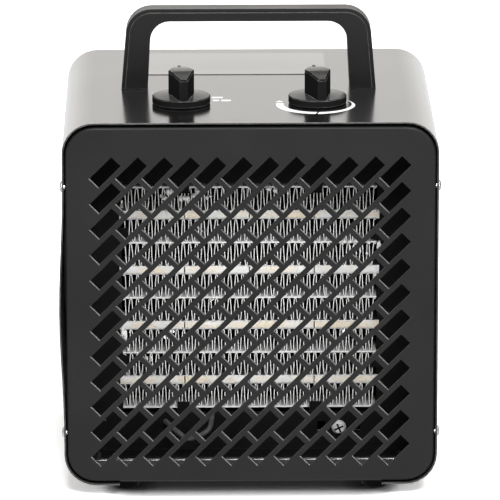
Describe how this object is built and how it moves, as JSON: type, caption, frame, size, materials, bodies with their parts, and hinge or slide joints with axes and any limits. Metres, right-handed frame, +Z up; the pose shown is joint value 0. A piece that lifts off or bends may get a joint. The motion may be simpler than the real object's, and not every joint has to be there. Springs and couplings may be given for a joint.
{
  "type": "ceramic fan heater",
  "caption": "Cube-shaped ceramic fan heater: sheet-steel casing with slanted-slot grille, finned PTC core, fan, turning knobs, carrying handle and rubber feet.",
  "frame": {"origin": "on the table plane, under the middle of the whole object's box", "axes": "+Z up; the front grille faces -Y; +X is to the right of a person who looks at the front"},
  "size_m": [0.2034, 0.1816, 0.2513],
  "materials": {
    "casing_paint": "smooth satin black enamel on sheet steel",
    "grille_paint": "matt charcoal powder coat on perforated sheet steel",
    "inner_paint": "plain matt black paint on inner sheet steel",
    "black_plastic": "black moulded plastic with a fine satin grain",
    "black_rubber": "black moulded rubber",
    "zinc_steel": "bright zinc-plated steel",
    "aluminium": "bare rolled aluminium sheet",
    "ceramic": "fired beige ceramic with bonded edges",
    "phenolic": "dark brown heat-proof moulding",
    "copper_wire": "enamelled copper winding",
    "laminations": "stacked silicon-steel laminations",
    "white_plastic": "off-white nylon"
  },
  "bodies": {
    "housing": {"casing_wrap": "casing_paint", "front_grille": "grille_paint", "rear_grille": "grille_paint", "base_plate": "casing_paint", "foot_front_left": "black_rubber", "foot_front_right": "black_rubber", "foot_rear_left": "black_rubber", "foot_rear_right": "black_rubber", "side_screw_front_upper_left": "zinc_steel", "side_screw_front_upper_right": "zinc_steel", "side_screw_front_lower_left": "zinc_steel", "side_screw_front_lower_right": "zinc_steel", "side_screw_rear_upper_left": "zinc_steel", "side_screw_rear_upper_right": "zinc_steel", "side_screw_rear_lower_left": "zinc_steel", "side_screw_rear_lower_right": "zinc_steel", "handle": "black_plastic", "handle_screw_left": "zinc_steel", "handle_screw_right": "zinc_steel", "mode_switch": "phenolic", "thermostat_body": "phenolic", "core_separator_1": "aluminium", "core_separator_2": "aluminium", "core_separator_3": "aluminium", "core_separator_4": "aluminium", "core_separator_5": "aluminium", "ptc_strip_1": "ceramic", "ptc_strip_2": "ceramic", "ptc_strip_3": "ceramic", "ptc_strip_4": "ceramic", "fin_pack_1": "aluminium", "fin_pack_2": "aluminium", "fin_pack_3": "aluminium", "fin_pack_4": "aluminium", "fin_pack_5": "aluminium", "fin_pack_6": "aluminium", "fin_pack_7": "aluminium", "fin_pack_8": "aluminium", "core_end_left": "phenolic", "core_end_right": "phenolic", "core_plate": "inner_paint", "core_plate_screw": "zinc_steel", "fan_shroud": "inner_paint", "motor_bracket": "zinc_steel", "motor_bridge": "zinc_steel", "motor_stator": "laminations", "motor_coil": "copper_wire", "cable_gland": "black_plastic", "gland_nut": "black_plastic", "terminal_block": "white_plastic", "thermal_cutout": "phenolic"},
    "fan": {"fan_impeller": "black_plastic", "fan_shaft": "zinc_steel", "impeller_nut": "zinc_steel"},
    "mode_knob": {"mode_knob": "black_plastic", "mode_shaft": "zinc_steel"},
    "thermostat_knob": {"thermostat_knob": "black_plastic", "thermostat_shaft": "zinc_steel"}
  },
  "joints": [
    {"name": "fan_spin", "type": "hinge", "parent": "housing", "child": "fan", "pos_m": [0, 0.00325, 0.0959], "axis": [0, 1, 0], "continuous": true},
    {"name": "mode_turn", "type": "hinge", "parent": "housing", "child": "mode_knob", "pos_m": [-0.0365, -0.04515, 0.207], "axis": [0, 0, 1], "range_deg": [-90, 180]},
    {"name": "thermostat_turn", "type": "hinge", "parent": "housing", "child": "thermostat_knob", "pos_m": [0.0365, -0.04515, 0.207], "axis": [0, 0, 1], "range_deg": [-135, 135]}
  ]
}
